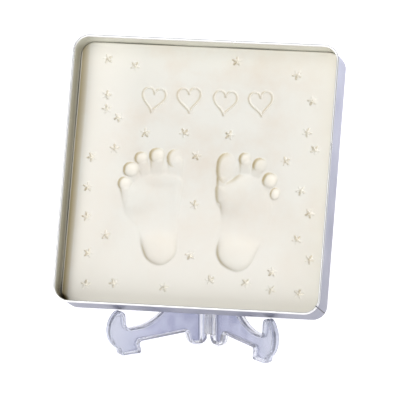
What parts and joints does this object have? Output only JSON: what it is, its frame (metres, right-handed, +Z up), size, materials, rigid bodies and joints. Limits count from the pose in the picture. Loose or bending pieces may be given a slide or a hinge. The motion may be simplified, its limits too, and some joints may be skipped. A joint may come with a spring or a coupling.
{
  "type": "imprint keepsake box on easel",
  "caption": "Open square tin with rounded corners and a curled rim, holding a clay slab with baby footprint imprints, leaning on a clear folding easel.",
  "frame": {"origin": "on the surface that the easel stands on, under the middle of the object's box", "axes": "+Z up, the open front of the tin faces -Y, +X to the right as seen from the front"},
  "size_m": [0.17, 0.0924, 0.1971],
  "materials": {
    "tinplate": "satin tinplate under clear lacquer",
    "clay": "matt air-dry clay",
    "clear_plastic": "clear gloss"
  },
  "bodies": {
    "easel_left": {"easel_left": "clear_plastic"},
    "easel_right": {"easel_right": "clear_plastic"},
    "tin": {"tin_wall": "tinplate", "tin_base": "tinplate", "clay_slab": "clay"}
  },
  "joints": [
    {"name": "tin_lift", "type": "slide", "parent": "easel_left", "child": "tin", "axis": [0, 0, 1], "range_m": [0, 0.12]},
    {"name": "easel_fold", "type": "hinge", "parent": "easel_left", "child": "easel_right", "pos_m": [0, 0.02396, 0], "axis": [0, 0, 1], "range_deg": [-90, 0]}
  ],
  "couplings": [
    {"joint": "easel_fold", "follows": "tin_lift", "rad_per_m": -13.08}
  ]
}
